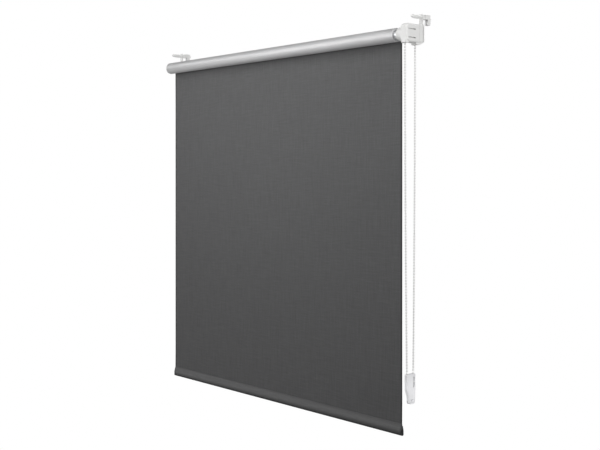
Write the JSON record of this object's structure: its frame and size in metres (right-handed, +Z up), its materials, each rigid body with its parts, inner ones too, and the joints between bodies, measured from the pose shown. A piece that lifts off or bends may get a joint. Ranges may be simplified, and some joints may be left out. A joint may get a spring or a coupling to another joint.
{
  "type": "roller blind",
  "caption": "Clamp-on thermal roller blind with a bead chain drive: raises and lowers a dark coated cloth in front of a window sash without drilling.",
  "frame": {"origin": "the middle of the right clamp's seat, the underside of the arm that rests on top of the window sash at the chain end", "axes": "+X along the roller towards the chain end, +Y towards the window, +Z up"},
  "size_m": [0.8945, 0.0835, 0.8844],
  "materials": {
    "white_plastic": "white injection-moulded plastic, satin",
    "inner_plastic": "natural acetal, matte",
    "dark_plastic": "near-black plastic, matte",
    "chain_plastic": "white moulded beads on a cord",
    "weight_plastic": "milky white plastic, slightly translucent",
    "cloth_front": "plain-woven dark grey polyester",
    "cloth_coating": "smooth silver thermal coating on the cloth's window side",
    "tape": "double-sided adhesive tape",
    "tube_aluminium": "mill-finish extrusion",
    "steel": "zinc-plated steel",
    "pad_rubber": "soft light grey rubber"
  },
  "bodies": {
    "brackets": {"right_bracket": "white_plastic", "right_front_pad": "pad_rubber", "right_bracket_screws": "steel", "left_bracket": "white_plastic", "left_front_pad": "pad_rubber", "left_bracket_screws": "steel", "idle_holder": "white_plastic", "housing_shell": "white_plastic", "housing_cover": "white_plastic", "housing_screws": "steel", "clutch_core": "inner_plastic", "chain_top": "chain_plastic", "chain_loop": "chain_plastic", "weight_half_inner": "weight_plastic", "weight_half_outer": "weight_plastic", "weight_axle": "steel", "weight_slug": "steel", "fabric_panel": "cloth_front"},
    "right_jaw": {"right_clamp_jaw": "white_plastic", "right_jaw_pad": "pad_rubber"},
    "right_screw": {"right_clamp_screw": "white_plastic"},
    "left_jaw": {"left_clamp_jaw": "white_plastic", "left_jaw_pad": "pad_rubber"},
    "left_screw": {"left_clamp_screw": "white_plastic"},
    "wheel": {"chain_wheel": "inner_plastic", "wrap_spring_inner": "steel", "wrap_spring_outer": "steel"},
    "roller": {"drive_plug": "inner_plastic", "roller_tube": "tube_aluminium", "fabric_tape": "tape", "fabric_roll": "cloth_coating", "idle_plug": "inner_plastic", "idle_plug_cap": "inner_plastic", "idle_spring": "steel"},
    "pin": {"idle_pin": "steel"},
    "bottom_rail": {"hem_pocket": "cloth_front", "bottom_bar": "tube_aluminium", "bar_cap_right": "dark_plastic", "bar_cap_left": "dark_plastic"},
    "pulley": {"weight_pulley": "inner_plastic"}
  },
  "joints": [
    {"name": "blind_lift", "type": "slide", "parent": "brackets", "child": "bottom_rail", "axis": [0, 0, 1], "range_m": [0, 0.7539], "deforming": ["fabric_panel"]},
    {"name": "roller_spin", "type": "hinge", "parent": "brackets", "child": "roller", "pos_m": [0, -0.042, -0.032], "axis": [1, 0, 0], "range_deg": [0, 2880]},
    {"name": "chain_wheel_spin", "type": "hinge", "parent": "brackets", "child": "wheel", "pos_m": [0, -0.042, -0.032], "axis": [1, 0, 0], "range_deg": [0, 2880]},
    {"name": "weight_pulley_spin", "type": "hinge", "parent": "brackets", "child": "pulley", "pos_m": [0, -0.042, -0.754], "axis": [1, 0, 0], "range_deg": [0, 4925]},
    {"name": "right_screw_turn", "type": "hinge", "parent": "brackets", "child": "right_screw", "pos_m": [0, -0.022, 0.0042], "axis": [0, 1, 0], "range_deg": [-2572, 3086]},
    {"name": "right_jaw_slide", "type": "slide", "parent": "brackets", "child": "right_jaw", "axis": [0, -1, 0], "range_m": [-0.005, 0.006]},
    {"name": "left_screw_turn", "type": "hinge", "parent": "brackets", "child": "left_screw", "pos_m": [-0.874, -0.022, 0.0042], "axis": [0, 1, 0], "range_deg": [-2572, 3086]},
    {"name": "left_jaw_slide", "type": "slide", "parent": "brackets", "child": "left_jaw", "axis": [0, -1, 0], "range_m": [-0.005, 0.006]},
    {"name": "idle_pin_slide", "type": "slide", "parent": "brackets", "child": "pin", "axis": [1, 0, 0], "range_m": [0, 0.007], "stiffness_N_per_m": 400, "springref_m": -0.012, "deforming": ["idle_spring"]}
  ],
  "couplings": [
    {"joint": "roller_spin", "follows": "blind_lift", "rad_per_m": 66.667},
    {"joint": "chain_wheel_spin", "follows": "blind_lift", "rad_per_m": 66.667},
    {"joint": "weight_pulley_spin", "follows": "blind_lift", "rad_per_m": 113.9},
    {"joint": "right_screw_turn", "follows": "right_jaw_slide", "rad_per_m": 8976},
    {"joint": "left_screw_turn", "follows": "left_jaw_slide", "rad_per_m": 8976}
  ]
}
